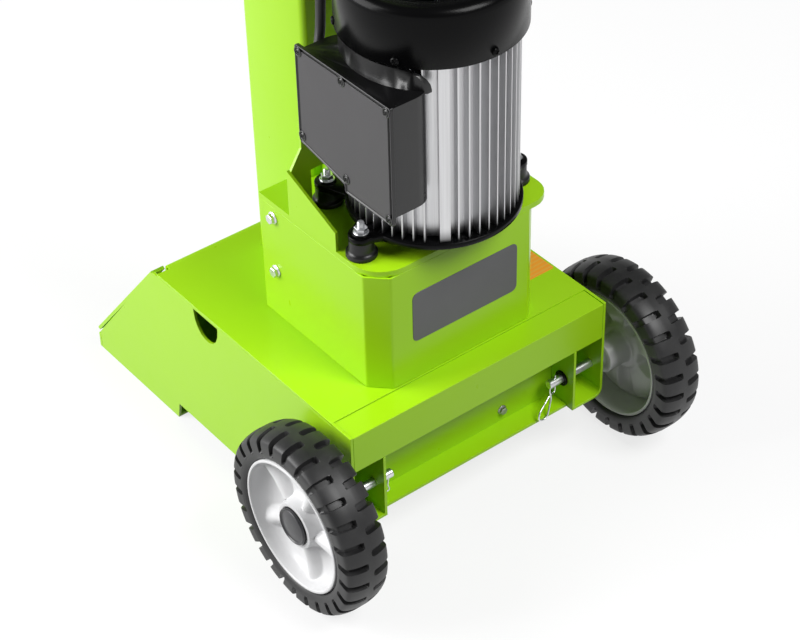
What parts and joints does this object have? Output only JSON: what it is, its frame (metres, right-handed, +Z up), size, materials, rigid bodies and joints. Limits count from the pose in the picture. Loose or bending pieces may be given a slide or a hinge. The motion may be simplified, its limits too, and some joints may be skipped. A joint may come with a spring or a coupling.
{
  "type": "vertical log splitter",
  "caption": "Upright hydraulic log splitter: low wheeled base, square column with sliding ram and wedge, two side control arms, electric motor standing on a pump housing.",
  "frame": {"origin": "on the floor under the middle of the machine's bounding box", "axes": "+Z up along the column, logs stand on the -Y side, the motor and the wheels are on the +Y side, +X is the side with the terminal box"},
  "size_m": [0.6928, 0.7058, 1.51],
  "materials": {
    "green_paint": "green powder paint, semi-gloss",
    "black_paint": "black paint, semi-gloss",
    "black_plastic": "black moulded plastic, fine texture",
    "grey_plastic": "light grey moulded plastic",
    "white_plastic": "off-white plastic",
    "rubber": "black rubber",
    "tyre": "black tyre rubber",
    "zinc": "zinc-plated steel",
    "steel": "plain machined steel",
    "chrome": "hard chrome",
    "aluminium": "raw extruded and cast aluminium",
    "green_button": "green plastic",
    "red_button": "red plastic"
  },
  "bodies": {
    "base": {"arm_bracket_left": "green_paint", "arm_bracket_right": "green_paint", "axle_bracket_left": "green_paint", "axle_bracket_right": "green_paint", "axle_left": "zinc", "axle_right": "zinc", "base_plate": "green_paint", "column": "green_paint", "cylinder_barrel": "steel", "cylinder_pipe": "steel", "deck_plate": "green_paint", "dipstick_cap": "black_plastic", "drain_plug": "zinc", "fan_cover": "black_paint", "gear_pump": "aluminium", "guide_collar": "white_plastic", "motor_body": "aluminium", "motor_bracket": "green_paint", "motor_end_shield": "aluminium", "motor_flange": "black_paint", "motor_lead": "rubber", "motor_mount_1": "rubber", "motor_mount_2": "rubber", "motor_mount_3": "rubber", "motor_mount_4": "rubber", "oil_tank": "green_paint", "power_inlet": "black_plastic", "pump_cover": "green_paint", "pump_pipe": "steel", "rear_beam": "green_paint", "rear_cross_plate": "green_paint", "run_capacitor": "white_plastic", "side_plate_left": "green_paint", "side_plate_right": "green_paint", "switch_box": "black_plastic", "terminal_box": "black_plastic", "terminal_box_lid": "black_plastic", "transport_handle": "black_paint", "valve_block": "aluminium"},
    "ram": {"ram": "green_paint", "piston_rod": "chrome", "splitting_wedge": "black_paint", "stroke_rod": "zinc"},
    "arm_left": {"control_arm_left": "black_paint", "grip_left": "rubber", "log_claw_left": "black_paint"},
    "arm_right": {"control_arm_right": "black_paint", "grip_right": "rubber", "log_claw_right": "black_paint"},
    "valve": {"valve_rod": "zinc"},
    "rotor": {"motor_rotor": "steel", "cooling_fan": "black_plastic"},
    "start": {"start_button": "green_button"},
    "stop": {"stop_button": "red_button"},
    "wheel_left": {"tyre_left": "tyre", "wheel_left": "grey_plastic", "hub_cap_left": "black_plastic"},
    "wheel_right": {"tyre_right": "tyre", "wheel_right": "grey_plastic", "hub_cap_right": "black_plastic"}
  },
  "joints": [
    {"name": "ram_slide", "type": "slide", "parent": "base", "child": "ram", "axis": [0, 0, 1], "range_m": [-0.48, 0]},
    {"name": "arm_left_pivot", "type": "hinge", "parent": "base", "child": "arm_left", "pos_m": [0.15, -0.066, 0.884], "axis": [0, 1, 0], "range_deg": [0, 14], "stiffness_Nm_per_rad": 10, "springref_deg": -25.78},
    {"name": "arm_right_pivot", "type": "hinge", "parent": "base", "child": "arm_right", "pos_m": [-0.15, -0.066, 0.884], "axis": [0, -1, 0], "range_deg": [0, 14], "stiffness_Nm_per_rad": 10, "springref_deg": -25.78},
    {"name": "valve_slide", "type": "slide", "parent": "base", "child": "valve", "axis": [0, 0, 1], "range_m": [0, 0.015], "stiffness_N_per_m": 600, "springref_m": -0.02},
    {"name": "motor_spin", "type": "hinge", "parent": "base", "child": "rotor", "pos_m": [-0.008, 0.148, 0.6], "axis": [0, 0, 1], "continuous": true},
    {"name": "start_push", "type": "slide", "parent": "base", "child": "start", "axis": [0, -1, 0], "range_m": [0, 0.004], "stiffness_N_per_m": 400, "springref_m": -0.002},
    {"name": "stop_push", "type": "slide", "parent": "base", "child": "stop", "axis": [0, -1, 0], "range_m": [0, 0.004], "stiffness_N_per_m": 400, "springref_m": -0.002},
    {"name": "wheel_left_spin", "type": "hinge", "parent": "base", "child": "wheel_left", "pos_m": [0.257, 0.228, 0.125], "axis": [1, 0, 0], "continuous": true},
    {"name": "wheel_right_spin", "type": "hinge", "parent": "base", "child": "wheel_right", "pos_m": [-0.257, 0.228, 0.125], "axis": [1, 0, 0], "continuous": true}
  ],
  "couplings": [
    {"joint": "arm_right_pivot", "follows": "arm_left_pivot", "ratio": 1},
    {"joint": "valve_slide", "follows": "arm_left_pivot", "m_per_rad": 0.0597}
  ]
}
